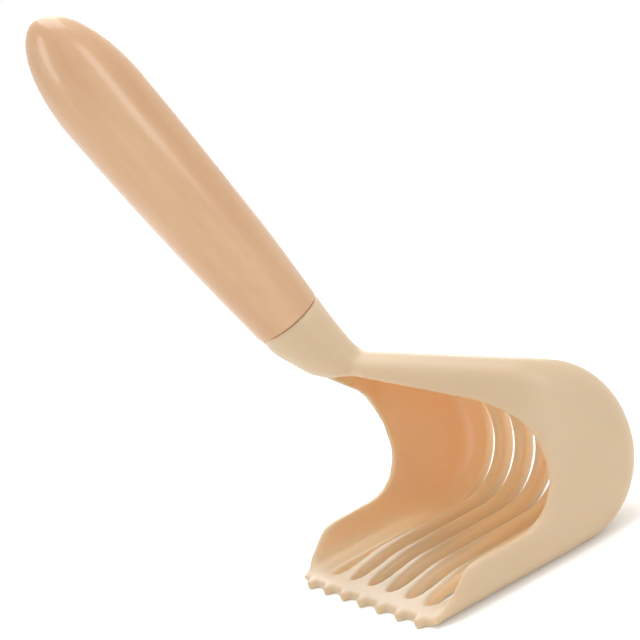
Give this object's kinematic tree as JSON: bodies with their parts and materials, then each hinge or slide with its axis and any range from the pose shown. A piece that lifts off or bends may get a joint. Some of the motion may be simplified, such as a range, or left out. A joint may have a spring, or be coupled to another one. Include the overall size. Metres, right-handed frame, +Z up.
{
  "type": "potato ricer",
  "caption": "Hand potato ricer: hooded, slotted nylon mashing head with a toothed front edge, glued into a turned wooden handle.",
  "frame": {"origin": "on the underside plane of the mashing plate, at the tip of the middle tooth", "axes": "+Z up from the plate the tool rests on, +X from the toothed edge towards the closed back of the hood, +Y across the head; the handle leans from +Z towards -X"},
  "size_m": [0.1272, 0.1012, 0.2074],
  "materials": {
    "nylon": "satin, heat-proof nylon",
    "beech": "clear lacquered beech",
    "glue": "set resin glue"
  },
  "bodies": {
    "root": {"mashing_head": "nylon", "beech_handle": "beech", "tang_glue": "glue"}
  },
  "joints": []
}
